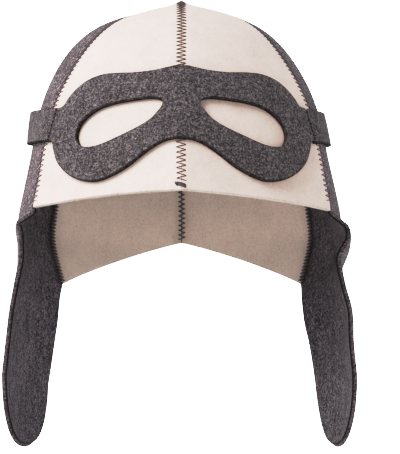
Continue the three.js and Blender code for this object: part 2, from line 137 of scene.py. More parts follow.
flaps = {
    "drop": 133.0,
    "frontOut": 98.0,
    "frontAhead": 37.0,
    "backOut": 80.0,
    "backAft": 38.0,
    "bow": 9.5,
    "endWidth": 1.5,
    "endFullness": 1.14,
    "waveLength": 40.0,
    "waveCount": 1.6,
    "waveStart": 0.08,
    "turnFrom": 0.3,
    "turnTo": 0.6,
    "bowFrom": [24.0, 12.0],  # heights over which the crown's bow eases into the flap's
    "foldRows": 6.0,
}

shoulderRows = {
    "frontDrop": [0.04, 0.1],
    "frontOut": [0.978, 0.963],
    "frontAhead": [1.0, 0.985],
    "seamDrop": [0.5, 1.0],
    "bow": [0.93, 1.0],
}

flapRows = {
    "frontDrop": [0.19, 0.3, 0.42, 0.56, 0.7],
    "frontOut": [0.963, 0.983, 1.004, 1.017, 1.03],
    "frontAhead": [0.98, 0.97, 0.96, 0.95, 0.94],
    "backDrop": [0.3, 0.4, 0.5, 0.61, 0.7],
    "backOut": [0.965, 0.97, 0.985, 1.005, 1.022],
    "backAft": [1.0, 0.985, 0.97, 0.95, 0.93],
    "bow": [1.0, 0.97, 0.88, 0.7, 0.5],
}

# The two sides differ a little, as soft felt does. rimRise lifts the front rim at its middle and its corner.
hatSides = [
    {
        "name": "left", "side": -1,
        "sideReach": 99.3, "sideSwell": 5.0, "rimRise": (1.8, 2.2),
        "strapSideRise": 60.5, "strapLift": 2.5,
        "toeOut": 4.5, "backTurn": 0.0, "endPinch": 0.0, "edgeWave": 0.4,
        "shoulderRise": 2.3, "shoulderOut": 0.5,
    },
    {
        "name": "right", "side": 1,
        "sideReach": 96.8, "sideSwell": 0.5, "rimRise": (1.8, 0.0),
        "strapSideRise": 59.5, "strapLift": 0.3,
        "toeOut": 1.0, "backTurn": 3.0, "endPinch": 7.0, "edgeWave": 6.0,
        "shoulderRise": 0.0, "shoulderOut": 0.0,
    },
]

# the two seams of each gore, the gores beside each seam, and where each seam meets the rim
gores = {
    "front": ("front", "frontCorner"),
    "side": ("frontCorner", "backCorner"),
    "back": ("backCorner", "back"),
}
besideSeams = {
    "front": (None, "front"),
    "frontCorner": ("front", "side"),
    "backCorner": ("side", "back"),
    "back": ("back", None),
}
seamFeet = {
    "front": (0.0, -crown["frontReach"]),
    "frontCorner": (crown["frontCornerOut"], -crown["frontCornerAhead"]),
    "backCorner": (crown["backCornerOut"], crown["backCornerBack"]),
    "back": (0.0, crown["backReach"]),
}


# A smooth curve through values, one number or one point for each key.
def curveThrough(keys, values, place):
    keys, values, place = [np.asarray(a, float) for a in (keys, values, place)]
    order = np.arange(len(keys))
    before = np.maximum(order - 1, 0)
    after = np.minimum(order + 1, order[-1])
    gaps = keys[after] - keys[before]
    if values.ndim > 1:
        gaps = gaps[:, None]
    slopes = (values[after] - values[before]) / gaps
    i = np.searchsorted(keys[1:-1], place, side="left")
    span = keys[i + 1] - keys[i]
    t = (place - keys[i]) / span
    if values.ndim > 1:
        span = span[..., None]
        t = t[..., None]
    t2 = t * t
    t3 = t2 * t
    return (
        (2 * t3 - 3 * t2 + 1) * values[i]
        + (t3 - 2 * t2 + t) * span * slopes[i]
        + (3 * t2 - 2 * t3) * values[i + 1]
        + (t3 - t2) * span * slopes[i + 1]
    )


def crownAt(column, along):
    return curveThrough(crownSections["along"], crownSections[column], along)


def fullnessAt(column, along):
    return curveThrough(crownFullness["along"], crownFullness[column], along)


alongSamples = np.linspace(-0.16, 1.0, 4001)
riseSamples = np.maximum.accumulate(crownAt("rise", alongSamples) * crown["height"])


def alongAtHeight(height):
    return np.minimum(np.interp(height, riseSamples, alongSamples), crown["end"])


def smoothstep(x, low, high):
    t = np.clip((np.asarray(x, float) - low) / (high - low), 0, 1)
    return t * t * (3 - 2 * t)


def lengthOf(v):
    return np.linalg.norm(v, axis=-1)


def unit(v):
    return v / np.maximum(lengthOf(v), 1e-12)[..., None]


def seamPoint(seam, along):
    share = crownAt(seam, along)
    out, ahead = seamFeet[seam]
    return np.stack([out * share, ahead * share, crownAt("rise", along) * crown["height"]], axis=-1)


seamArc = {}
for seamName in seamFeet:
    steps = lengthOf(np.diff(seamPoint(seamName, alongSamples), axis=0))
    seamArc[seamName] = np.concatenate([[0], np.cumsum(steps)])


def arcAt(seam, along):
    return np.interp(along, alongSamples, seamArc[seam])


def alongAtArc(seam, arc):
    return np.interp(arc, seamArc[seam], alongSamples)


def gorePoint(name, across, along, hatSide):
    across, along = np.broadcast_arrays(np.asarray(across, float), np.asarray(along, float))
    start = seamPoint(gores[name][0], along)
    end = seamPoint(gores[name][1], along)
    bow = fullnessAt("bow", along) * crown["bow"]
    if name == "side":
        swell = fullnessAt("swell", along) * hatSide["sideSwell"]
        reach = crownAt("side", along) * hatSide["sideReach"] + swell
        bow = reach - (start[..., 0] + end[..., 0]) / 2
    span = end - start
    outward = unit(np.stack([span[..., 1], -span[..., 0], np.zeros_like(across)], axis=-1))
    return start + span * across[..., None] + outward * (4 * across * (1 - across) * bow)[..., None]


def goreNormal(name, across, along, hatSide):
    step = 1e-3
    du = gorePoint(name, across + step, along, hatSide) - gorePoint(name, across - step, along, hatSide)
    dv = gorePoint(name, across, along + step, hatSide) - gorePoint(name, across, along - step, hatSide)
    return unit(np.cross(du, dv))


def goreWidth(name, along):
    return lengthOf(seamPoint(gores[name][1], along) - seamPoint(gores[name][0], along))


def crestAt(name, across, along):
    if name == "side":
        return np.zeros(np.broadcast(across, along).shape)
    fromSeam = across if name == "front" else 1 - across
    height = fullnessAt("crest", along) * crown["crestHeight"]
    return height * np.clip(1 - fromSeam, 0, 1) ** crown["crestSharpness"]


def seamRoll(apart):
    return felt["rollDepth"] * np.exp(-((apart / felt["rollWidth"]) ** 2))


def stitchDimples(apart, phase):
    near = np.exp(-(((apart - stitch["halfWidth"]) / felt["dimpleWidth"]) ** 2))
    return felt["dimpleDepth"] * near * (0.5 + 0.5 * np.cos(2 * np.pi * phase)) ** 2


# How far the outside of the felt sinks beside its seams: a soft roll, and a dimple at each stitch.
def seamSink(name, across, along):
    sink = 0
    width = goreWidth(name, along)
    for seam, apart, side in (
        (gores[name][0], across * width, 1),
        (gores[name][1], (1 - across) * width, 0),
    ):
        phase = arcAt(seam, along) / stitch["period"] + side / 2
        sink = sink + seamRoll(apart) + stitchDimples(apart, phase)
    return sink


def outsidePoint(name, across, along, hatSide, off=0.0):
    point = gorePoint(name, across, along, hatSide)
    normal = goreNormal(name, across, along, hatSide)
    point = point + normal * (off - seamSink(name, across, along))[..., None]
    point[..., 2] += crestAt(name, across, along)
    return point


def seamNormals(seam, along, hatSide):
    before, after = besideSeams[seam]
    one = goreNormal(before, np.ones_like(along), along, hatSide) if before else None
    other = goreNormal(after, np.zeros_like(along), along, hatSide) if after else None
    if one is None:
        one = other * [-1, 1, 1]
    if other is None:
        other = one * [-1, 1, 1]
    return one, other


def seamLayerPoint(seam, along, off, hatSide):
    along = np.asarray(along, float)
    one, other = seamNormals(seam, along, hatSide)
    bend = np.sqrt(np.clip((1 + (one * other).sum(-1)) / 2, 0.05, 1))
    return seamPoint(seam, along) + unit(one + other) * (off / bend)[..., None]


# place counts gores from the middle of the front: 0 to 1 is a front gore, 1 to 2 a side, 2 to 3 a back gore.
def layerPoint(place, along, off, hatSide, ease=0.02):
    place, along, off = [np.array(a, float) for a in np.broadcast_arrays(place, along, off)]
    out = np.zeros(place.shape + (3,))
    for k, name in enumerate(gores):
        here = (place >= k) & ((place < k + 1) | (k == 2))
        if here.any():
            across = place[here] - k
            normal = goreNormal(name, across, along[here], hatSide)
            out[here] = gorePoint(name, across, along[here], hatSide) + normal * off[here][:, None]
    for k, seam in enumerate(seamFeet):
        near = np.abs(place - k) < ease
        if near.any():
            exact = seamLayerPoint(seam, along[near], off[near], hatSide)
            share = (np.abs(place[near] - k) / ease)[:, None]
            out[near] = exact * (1 - share) + out[near] * share
    return out


def acrossFront(out, along, hatSide):
    out, along = np.broadcast_arrays(np.asarray(out, float), np.asarray(along, float))
    low = np.zeros(out.shape)
    high = np.ones(out.shape)
    for _ in range(30):
        middle = (low + high) / 2
        short = gorePoint("front", middle, along, hatSide)[..., 0] < out
        low = np.where(short, middle, low)
        high = np.where(short, high, middle)
    return (low + high) / 2


softness = {"size": 0.45, "perMetre": 26.0, "offset": (3.1, 7.7, 1.9), "seed": 11}


# One smooth field moves every piece a little, so that what touches still does.
def softened(points):
    noise.seed_set(softness["seed"])
    offset = Vector(softness["offset"])
    moved = np.empty_like(points)
    for k, p in enumerate(points):
        moved[k] = noise.noise_vector(Vector(p) * softness["perMetre"] + offset)
    return points + moved * softness["size"] * mm


def newObject(name, points, faces, materials, slots=None, shade=None):
    points = softened(np.asarray(points, float) * mm)
    mesh = bpy.data.meshes.new(name)
    mesh.from_pydata(points.tolist(), [], [tuple(f) for f in faces])
    mesh.polygons.foreach_set("use_smooth", [True] * len(mesh.polygons))
    for material in materials:
        mesh.materials.append(material)
    if slots is not None:
        mesh.polygons.foreach_set("material_index", slots)
    if shade is not None:
        mesh.attributes.new("shade", "FLOAT", "POINT").data.foreach_set("value", shade)
    mesh.update()
    obj = bpy.data.objects.new(name, mesh)
    bpy.context.scene.collection.objects.link(obj)
    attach(obj, bodyName)
    return obj


# A felt piece from matching points on its outside and inside and the faces between them, which turn
# anticlockwise seen from outside. Its cut edges are rounded. Slots: 0 outside, 1 cut edge, 2 inside.
# shade marks painted shade, where the materials go dark: on the inside as given, and across a cut edge
# towards the inside, which paints shade at the edge's inner corner together with a darker cut edge.
def feltBody(name, outer, inner, normals, quads, materials, recordSlot, shade=None):
    quads = np.asarray(quads)
    count = len(outer)
    starts = quads.reshape(-1)
    ends = np.roll(quads, -1, axis=1).reshape(-1)
    real = starts != ends
    starts, ends = starts[real], ends[real]
    lengths = lengthOf(outer[starts] - outer[ends])
    room = np.full(count, 1e9)
    np.minimum.at(room, starts, lengths)
    np.minimum.at(room, ends, lengths)
    lone = ~np.isin(starts * count + ends, ends * count + starts)
    a, b = starts[lone], ends[lone]
    nextOf = dict(zip(a.tolist(), b.tolist()))
    prevOf = dict(zip(b.tolist(), a.tolist()))
    ring = np.array(sorted(nextOf))
    after = np.array([nextOf[i] for i in ring.tolist()])
    before = np.array([prevOf[i] for i in ring.tolist()])
    n = normals[ring]
    one = unit(np.cross(outer[ring] - outer[before], n))
    other = unit(np.cross(outer[after] - outer[ring], n))
    out = (one + other) / np.maximum(1 + (one * other).sum(-1, keepdims=True), 0.4)
    radius = np.minimum(felt["edgeRound"], felt["edgeRoom"] * room[ring])[:, None]
    outerPulled = outer.copy()
    innerPulled = inner.copy()
    outerPulled[ring] -= out * radius
    innerPulled[ring] -= out * radius
    profile = []
    turns = [math.radians(30), math.radians(60), math.radians(90)]
    for turn in turns:
        profile.append(outerPulled[ring] + out * radius * math.sin(turn) - n * radius * (1 - math.cos(turn)))
    for turn in reversed(turns):
        profile.append(innerPulled[ring] + out * radius * math.sin(turn) + n * radius * (1 - math.cos(turn)))
    points = np.concatenate([outerPulled, innerPulled, *profile])
    insideShade = np.zeros(count) if shade is None else shade.copy()
    # painted shade, with a darker cut edge: the inside's border and the inner half of every cut edge go dark
    insideShade[ring] = np.maximum(insideShade[ring], felt["edgeShade"])
    edgeShade = np.repeat([0.0, 0.0, 0.0, 1.0, 1.0, 1.0], len(ring))
    allShade = np.concatenate([np.zeros(count), insideShade, edgeShade])
    place = {int(v): k for k, v in enumerate(ring)}
    rows = [lambda v: v]
    for level in range(len(profile)):
        rows.append(lambda v, level=level: 2 * count + level * len(ring) + place[v])
    rows.append(lambda v: count + v)
    faces = [tuple(q) for q in quads] + [tuple(count + v for v in reversed(q)) for q in quads]
    slots = [0] * len(quads) + [2] * len(quads)
    for start, end in zip(a.tolist(), b.tolist()):
        for upper, lower in zip(rows, rows[1:]):
            faces.append((upper(end), upper(start), lower(start), lower(end)))
            slots.append(1)
    faces = [[v for k, v in enumerate(face) if v != face[k - 1]] for face in faces]
    slots = [slot for face, slot in zip(faces, slots) if len(face) > 2]
    faces = [face for face in faces if len(face) > 2]
    return newObject(name, points, faces, materials, slots, allShade)


panelGrid = {"rows": 190, "columns": 44, "flapSteps": 9, "endSteps": 16, "crowding": 0.09}


def gridQuads(rows, columns):
    j, i = np.meshgrid(np.arange(rows - 1), np.arange(columns - 1), indexing="ij")
    a = (j * columns + i).reshape(-1)
    return np.stack([a, a + 1, a + columns + 1, a + columns], axis=1)


def gridNormals(grid):
    return unit(np.cross(np.gradient(grid, axis=1), np.gradient(grid, axis=0)))


# Shares across a panel, closer together beside its two edges.
def sharesAcross(columns):
    t = np.linspace(0, 1, columns + 1)
    return t - panelGrid["crowding"] * np.sin(2 * np.pi * t)


# The inside of a panel, one thickness in, which meets its neighbours' on the mitre of a seam.
def insideGrid(base, normals, seams, hatSide):
    inner = base - normals * felt["thickness"]
    for column, seam, alongs in seams:
        rows = np.nonzero(~np.isnan(alongs))[0]
        edge = seamLayerPoint(seam, alongs[rows], np.full(len(rows), -felt["thickness"]), hatSide)
        inward = base[rows, 1 if column == 0 else -2] - base[rows, column]
        edge = edge + unit(inward) * felt["gap"] / 2
        shift = edge - inner[rows, column]
        apart = lengthOf(base[rows] - base[rows, column][:, None])
        width = lengthOf(base[rows, 0] - base[rows, -1])
        reach = np.minimum(felt["mitreReach"], felt["mitreShare"] * width)[:, None]
        share = np.clip(1 - apart / np.maximum(reach, 1e-6), 0, 1) ** 2
        inner[rows] += shift[:, None] * share[..., None]
    return inner


def panelBody(name, base, outer, seams, hatSide, materials, recordSlot):
    normals = gridNormals(base)
    # painted shade on the inside, darkest at each sewn seam and fading over seamShadeReach
    shade = np.zeros(base.shape[:2])
    for column, seam, alongs in seams:
        apart = lengthOf(base - base[:, column][:, None])
        sewn = ~np.isnan(alongs)[:, None]
        shade = np.maximum(shade, sewn * np.exp(-((apart / felt["seamShadeReach"]) ** 2)))
    inner = insideGrid(base, normals, seams, hatSide)
    quads = gridQuads(*base.shape[:2])
    flip = np.array([hatSide["side"], 1, 1])
    if hatSide["side"] < 0:
        quads = quads[:, ::-1]
    shaped = [(part * flip).reshape(-1, 3) for part in (outer, inner, normals)]
    body = feltBody(name + "_felt", *shaped, quads, materials, recordSlot, shade.reshape(-1))
    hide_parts(name)
    return body


def rimHeight(name, across, hatSide):
    if name == "front":
        middle, corner = hatSide["rimRise"]
        return middle + (corner - middle) * across
    fall = np.clip(1 - across, 0, 1) ** crown["napeArchPower"]
    return crown["napeArchTop"] - (crown["napeArchTop"] + crown["napeDrop"]) * fall


def inPlace(shares, width):
    margin = felt["gap"] / 2 / width
    return margin + shares * (1 - 2 * margin)


def gorePanel(name, hatSide, materials, recordSlot):
    shares = sharesAcross(panelGrid["columns"])[None, :]
    stations = np.linspace(0, 1, panelGrid["rows"] + 1)[:, None]
    low = alongAtHeight(rimHeight(name, shares, hatSide))
    along = low + stations * (crown["end"] - low)
    across = inPlace(shares, goreWidth(name, along))
    base = gorePoint(name, across, along, hatSide)
    outer = outsidePoint(name, across, along, hatSide)
    seams = [(0, gores[name][0], along[:, 0]), (-1, gores[name][1], along[:, -1])]
    return panelBody(f"{name}_{hatSide['name']}_panel", base, outer, seams, hatSide, materials, recordSlot)


def belowRim(column):
    return np.array(shoulderRows[column] + flapRows[column])


# The front and back edges of a side panel below the rim and its bow, from the rim down to the flap's end.
def sideEdges(hatSide):
    drop = flaps["drop"]
    frontDrop = belowRim("frontDrop") * drop
    waves = frontDrop / flaps["waveLength"]
    wave = hatSide["edgeWave"] * np.maximum(0, 1 - waves / flaps["waveCount"])
    wave = wave * np.sin(2 * np.pi * (waves - flaps["waveStart"]))
    frontOut = belowRim("frontOut") * flaps["frontOut"] + wave + hatSide["toeOut"] * frontDrop / drop
    frontAhead = belowRim("frontAhead") * flaps["frontAhead"]
    front = np.stack([frontOut, -frontAhead, -frontDrop], axis=1)
    front[: len(shoulderRows["frontDrop"])] += [hatSide["shoulderOut"], 0, hatSide["shoulderRise"]]

    backDrop = np.array(flapRows["backDrop"])
    turned = smoothstep(backDrop, flaps["turnFrom"], flaps["turnTo"])
    backOut = np.array(flapRows["backOut"]) * flaps["backOut"]
    backOut = backOut + hatSide["toeOut"] * backDrop + hatSide["backTurn"] * turned
    back = np.stack([backOut, np.array(flapRows["backAft"]) * flaps["backAft"], -backDrop * drop], axis=1)

    seamAlong = alongAtHeight(-np.array([0] + shoulderRows["seamDrop"]) * crown["napeDrop"])
    seamBack = seamPoint("backCorner", seamAlong)
    front = np.concatenate([seamPoint("frontCorner", np.array([0.0])), front])
    back = np.concatenate([seamBack, back])
    rimBow = hatSide["sideReach"] * crownAt("side", 0.0) - (front[0, 0] + back[0, 0]) / 2
    bow = np.concatenate([[rimBow], belowRim("bow") * flaps["bow"]])
    return front, back, bow, seamAlong


def sidePanel(hatSide, materials, recordSlot):
    name = hatSide["name"] + "_side_panel"
    shares = sharesAcross(panelGrid["columns"])
    front, back, bow, seamAlong = sideEdges(hatSide)
    last = len(front) - 1
    moved = (lengthOf(np.diff(front, axis=0)) + lengthOf(np.diff(back, axis=0))) / 2
    keys = np.concatenate([[0], np.cumsum(moved)])
    corner = len(seamAlong) - 1
    steps = panelGrid["flapSteps"]
    fine = np.interp(np.arange(1, last * steps + 1) / steps, np.arange(last + 1), keys)
    fineFront = curveThrough(keys, front, fine)
    # a fold at the rim: no bulge where the flap's front edge steps in
    first = fine < keys[1]
    fineFront[first] = front[0] + (front[1] - front[0]) * (fine[first] / keys[1])[:, None]
    fineAlong = np.interp(fine, keys[: corner + 1], seamAlong, right=np.nan)
    fineBack = np.where(
        np.isnan(fineAlong)[:, None],
        curveThrough(keys[corner:], back[corner:], np.maximum(fine, keys[corner])),
        seamPoint("backCorner", np.nan_to_num(fineAlong)),
    )
    # the bow eases from the crown's into the flap's
    bowFrom = np.array(flaps["bowFrom"])
    above = alongAtHeight(bowFrom)
    seamsOut = (seamPoint("frontCorner", above)[:, 0] + seamPoint("backCorner", above)[:, 0]) / 2
    crownBow = crownAt("side", above) * hatSide["sideReach"] - seamsOut
    fineBow = curveThrough(np.concatenate([-bowFrom, keys]), np.concatenate([crownBow, bow]), fine)

    halfWidth = lengthOf(front[last] - back[last]) / 2
    middle = (front[last] + back[last]) / 2
    fullness = flaps["endFullness"]
    turn = np.linspace(0, 1, panelGrid["endSteps"] + 1)[1:]
    turn = turn * math.acos((flaps["endWidth"] / 2 / halfWidth) ** fullness)
    shrink = np.cos(turn)[:, None] ** (1 / fullness)
    down = np.stack([0 * turn, 0 * turn, -(flaps["drop"] + front[last, 2]) * np.sin(turn)], axis=1)
    pinch = (hatSide["endPinch"] * np.sin(2 * turn) / halfWidth / 2)[:, None]
    endFront = middle + (front[last] - middle) * shrink + down
    endBack = middle + (back[last] - middle) * (shrink - pinch) + down
    edgeFront = np.concatenate([fineFront, endFront])[::-1]
    edgeBack = np.concatenate([fineBack, endBack])[::-1]
    edgeBow = np.concatenate([fineBow, bow[last] * shrink[:, 0]])[::-1]
    seamBelow = np.concatenate([fineAlong, np.full(len(endFront), np.nan)])[::-1]

    span = edgeBack - edgeFront
    outward = unit(np.stack([span[:, 1], -span[:, 0], 0 * span[:, 0]], axis=1))
    below = (
        edgeFront[:, None]
        + span[:, None] * shares[None, :, None]
        + outward[:, None] * (4 * shares * (1 - shares) * edgeBow[:, None])[..., None]
    )
    along = np.linspace(0, crown["end"], panelGrid["rows"] + 1)[:, None]
    across = inPlace(shares[None, :], goreWidth("side", along))
    crownPart = gorePoint("side", across, along, hatSide)
    crownOuter = outsidePoint("side", across, along, hatSide)
    base = np.concatenate([below, crownPart])
    # the back seam's roll and dimples go on below the rim
    width = lengthOf(span)[:, None]
    apart = (1 - shares[None, :]) * width
    fade = np.where(np.isnan(seamBelow), 0, 1)[:, None]
    phase = arcAt("backCorner", np.nan_to_num(seamBelow))[:, None] / stitch["period"]
    sink = (seamRoll(apart) + stitchDimples(apart, phase)) * fade
    # the front seam's roll dies out in the fold below the rim
    rimFade = np.exp(-np.arange(len(below))[::-1] / flaps["foldRows"])[:, None]
    sink = sink + seamRoll(shares[None, :] * width) * rimFade
    belowOuter = below - gridNormals(base)[: len(below)] * sink[..., None]
    outer = np.concatenate([belowOuter, crownOuter])
    alongBack = np.concatenate([seamBelow, along[:, 0]])
    alongFront = np.concatenate([np.full(len(below), np.nan), along[:, 0]])
    seams = [(0, "frontCorner", alongFront), (-1, "backCorner", alongBack)]
    return panelBody(name, base, outer, seams, hatSide, materials, recordSlot)


goggles = {
    "halfWidth": 76.5,
    "rise": 10.4,
    "height": 67.0,
    "eyeFromMiddle": 9.8,
    "eyeRise": 31.6,
    "eyeWidth": 49.1,
    "eyeHeight": 26.0,
    "rings": 12,
    "stepsBetween": 5,
    "noseEase": 0.6,
    "noseWidth": 6.0,
}
goggleEnd = {"top": 10, "foot": 12}

# across and up round the right half, in shares: the rim from the top of the nose to its foot, and the eye
goggleRim = [
    (0.0, 1.0), (0.09, 0.982), (0.195, 0.964), (0.335, 0.963), (0.465, 0.982), (0.585, 0.99), (0.7, 0.955),
    (0.79, 0.88), (0.845, 0.805), (0.875, 0.752), (0.925, 0.738), (0.957, 0.593), (0.99, 0.448),
    (0.958, 0.415), (0.948, 0.35), (0.91, 0.217), (0.83, 0.097), (0.727, 0.025), (0.61, 0.0), (0.494, 0.035),
    (0.377, 0.105), (0.273, 0.195), (0.175, 0.27), (0.09, 0.31), (0.0, 0.32),
]
goggleEye = [
    (0.055, 0.97), (0.147, 1.0), (0.27, 1.0), (0.41, 0.992), (0.574, 0.973), (0.717, 0.923), (0.83, 0.823),
    (0.91, 0.7), (0.961, 0.585), (0.985, 0.477), (0.994, 0.419), (1.0, 0.323), (0.992, 0.219), (0.978, 0.146),
    (0.957, 0.077), (0.91, 0.023), (0.84, 0.0), (0.758, 0.008), (0.666, 0.05), (0.554, 0.123), (0.432, 0.208),
    (0.31, 0.304), (0.208, 0.4), (0.126, 0.508), (0.059, 0.65), (0.014, 0.765), (0.0, 0.862), (0.016, 0.935),
]


# Rounds the corners at the middle of the nose, where the felt bends over the front seam.
def easedAtNose(points):
    share = np.clip(1 - np.abs(points[..., 0]) / goggles["noseWidth"], 0, 1) ** 2
    eased = points.copy()
    eased[..., 1] += goggles["noseEase"] * share
    return eased


def goggleOutlines():
    eye = np.array(goggleEye)
    rim = np.array(goggleRim)
    lastRim = len(rim) - 1
    up = np.linspace(rim[-1, 1], 1, len(eye) - lastRim + 1)[1:-1]
    rim = np.concatenate([rim, np.stack([0 * up, up], axis=1)])
    steps = goggles["stepsBetween"]
    count = len(eye)
    places = np.arange(count * steps) / steps
    # the eye is one closed curve
    closed = np.concatenate([eye[-2:], eye, eye[:3]])
    fineEye = curveThrough(np.arange(-2, count + 3), closed, places)
    # the rim is straight along the strap's end and up the middle, and curved between
    fineRim = np.empty_like(fineEye)
    for start, end, straight in (
        (0, goggleEnd["top"], False),
        (goggleEnd["top"], goggleEnd["foot"], True),
        (goggleEnd["foot"], lastRim, False),
        (lastRim, count, True),
    ):
        here = (places >= start) & (places < end)
        ring = np.concatenate([rim, rim[:1]])[start : end + 1]
        keys = np.arange(start, end + 1)
        if straight:
            fineRim[here] = np.stack([np.interp(places[here], keys, ring[:, c]) for c in (0, 1)], axis=1)
        else:
            if start == 0:
                keys = np.concatenate([[-1], keys])
                ring = np.concatenate([[[-ring[1, 0], ring[1, 1]]], ring])
            if end == lastRim:
                keys = np.concatenate([keys, [end + 1]])
                ring = np.concatenate([ring, [[-ring[-2, 0], ring[-2, 1]]]])
            fineRim[here] = curveThrough(keys, ring, places[here])
    eyeFoot = [goggles["eyeFromMiddle"], goggles["eyeRise"]]
    eyeMm = fineEye * [goggles["eyeWidth"], goggles["eyeHeight"]] + eyeFoot
    rimMm = fineRim * [goggles["halfWidth"], goggles["height"]] + [0, goggles["rise"]]
    rimMm[places >= lastRim, 0] = 0
    rimMm[0, 0] = 0
    return eyeMm, rimMm


def goggleBody(materials, recordSlot):
    eye, rim = goggleOutlines()
    share = np.linspace(0, 1, goggles["rings"] + 1)[:, None, None]
    flat = eye[None] + (rim - eye)[None] * share
    along = alongAtHeight(flat[..., 1])
    across = acrossFront(flat[..., 0], along, hatSides[1])
    across[flat[..., 0] < 1e-9] = 0
    layers = []
    for off in (felt["layerGap"], felt["layerGap"] + felt["thickness"]):
        layer = easedAtNose(layerPoint(across, along, off, hatSides[1], felt["layerEase"]))
        layer[..., 0][flat[..., 0] < 1e-9] = 0
        layers.append(layer)
    inner, outer = layers
    rings, stations = flat.shape[:2]
    r, i = np.meshgrid(np.arange(rings - 1), np.arange(stations), indexing="ij")
    j = (i + 1) % stations
    here, beyond = r * stations, (r + 1) * stations
    right = np.stack([here + i, here + j, beyond + j, beyond + i], axis=-1).reshape(-1, 4)
    half = rings * stations
    flats = [layer.reshape(-1, 3) for layer in (outer, inner)]
    outer, inner = [np.concatenate([flat, flat * [-1, 1, 1]]) for flat in flats]
    quads = np.concatenate([right, right[:, ::-1] + half])
    # the two halves are joined along the middle
    _, first, joined = np.unique(np.round(outer, 3), axis=0, return_index=True, return_inverse=True)
    joined = joined.reshape(-1)
    outer, inner, quads = outer[first], inner[first], joined[quads]
    body = feltBody("goggles_felt", outer, inner, unit(outer - inner), quads, materials, recordSlot)
    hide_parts("goggles")
    return body


strap = {
    "height": 19.6,
    "backRise": 74.0,
    "climb": 0.2,
    "liftAtFoot": 0.2,
    "swellFrom": 0.95,
    "swellTo": 2.1,
    "climbFrom": 1.5,
    "climbTo": 3.0,
    "frontSteps": 8,
    "sideSteps": 44,
    "backSteps": 40,
    "rows": 10,
}


def strapAlong(place, share, hatSide):
    place = np.asarray(place, float)
    toBack = smoothstep(place, strap["climbFrom"], strap["climbTo"])
    middleRise = hatSide["strapSideRise"] + (strap["backRise"] - hatSide["strapSideRise"]) * toBack
    along = alongAtHeight(np.full(place.shape, hatSide["strapSideRise"]))
    for _ in range(12):
        aft = layerPoint(place, along, 0.0, hatSide)[..., 1]
        rise = middleRise + strap["climb"] * aft * (1 - toBack)
        along = alongAtHeight(rise + share * strap["height"] / 2)
    return along


def strapStart(share, hatSide):
    top, foot = goggleRim[goggleEnd["top"]], goggleRim[goggleEnd["foot"]]
    place = 0.9  # a first guess, in gores
    for _ in range(12):
        along = float(strapAlong(np.array([place]), share, hatSide)[0])
        up = (float(crownAt("rise", along)) * crown["height"] - goggles["rise"]) / goggles["height"]
        upEnd = (up - foot[1]) / (top[1] - foot[1])
        out = (foot[0] + (top[0] - foot[0]) * upEnd) * goggles["halfWidth"]
        place = float(acrossFront(out, along, hatSide))
    return place + felt["layerGap"] / crown["frontCornerOut"]


def strapBody(materials, recordSlot):
    halves = []
    for hatSide in hatSides:
        outer = []
        inner = []
        for share in np.linspace(-1, 1, strap["rows"] + 1):
            start = strapStart(share, hatSide)
            places = np.concatenate(
                [
                    np.linspace(start, 1, strap["frontSteps"], endpoint=False),
                    np.linspace(1, 2, strap["sideSteps"], endpoint=False),
                    np.linspace(2, 3, strap["backSteps"] + 1),
                ]
            )
            along = strapAlong(places, share, hatSide)
            t = np.clip((places - strap["swellFrom"]) / (strap["swellTo"] - strap["swellFrom"]), 0, 1)
            foot = strap["liftAtFoot"] + (1 - strap["liftAtFoot"]) * (share + 1) / 2
            lift = felt["layerGap"] + hatSide["strapLift"] * np.sin(np.pi * t) ** 2 * foot
            for layer, off in ((inner, lift), (outer, lift + felt["thickness"])):
                point = layerPoint(places, along, off, hatSide, felt["layerEase"])
                layer.append(point * [hatSide["side"], 1, 1])
        halves.append((np.array(outer), np.array(inner)))
    left, right = halves
    outer, inner = [np.concatenate([right[k], left[k][:, -2::-1]], axis=1) for k in (0, 1)]
    quads = gridQuads(*outer.shape[:2])
    outer, inner = outer.reshape(-1, 3), inner.reshape(-1, 3)
    body = feltBody("goggle_strap_felt", outer, inner, unit(outer - inner), quads, materials, recordSlot)
    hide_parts("goggle_strap")
    return body


# A round thread along a line of points, with a normal at each, all in one mesh for several lines.
def threadBody(name, lines, radius, material, sides=6):
    points = []
    faces = []
    for line, normals in lines:
        first = len(points)
        tangent = unit(np.gradient(line, axis=0))
        side = unit(np.cross(tangent, normals))
        up = np.cross(side, tangent)
        circle = [2 * np.pi * k / sides for k in range(sides)]
        ring = np.stack([line + radius * (math.cos(t) * up + math.sin(t) * side) for t in circle], axis=1)
        points.extend(ring.reshape(-1, 3))
        for k in range(len(line) - 1):
            a = first + k * sides
            for s in range(sides):
                t = (s + 1) % sides
                faces.append((a + s, a + t, a + sides + t, a + sides + s))
        end = first + (len(line) - 1) * sides
        faces.append(tuple(first + s for s in reversed(range(sides))))
        faces.append(tuple(end + s for s in range(sides)))
    return newObject(name, points, faces, [material])


# Points beside a seam of the right half: apart is negative on the gore before the seam and positive after it.
# off is above the felt's outside, or with inside=True above its inside, towards the head.
def besideSeam(seam, apart, along, off, hatSide, inside=False):
    names = besideSeams[seam]
    points = np.zeros(apart.shape + (3,))
    normals = np.zeros(apart.shape + (3,))
    for after in (False, True):
        here = (apart >= 0) if after else (apart < 0)
        if not here.any():
            continue
        name = names[1] if after else names[0]
        mirror = name is None
        if mirror:
            name = names[0] if after else names[1]
        share = np.abs(apart[here]) / goreWidth(name, along[here])
        across = share if (after != mirror) else 1 - share
        normal = goreNormal(name, across, along[here], hatSide)
        if inside:
            point = gorePoint(name, across, along[here], hatSide)
            point = point - normal * (felt["thickness"] + off[here])[:, None]
        else:
            point = outsidePoint(name, across, along[here], hatSide) + normal * off[here][:, None]
        if mirror:
            point = point * [-1, 1, 1]
            normal = normal * [-1, 1, 1]
        points[here] = point
        normals[here] = normal
    return points, normals


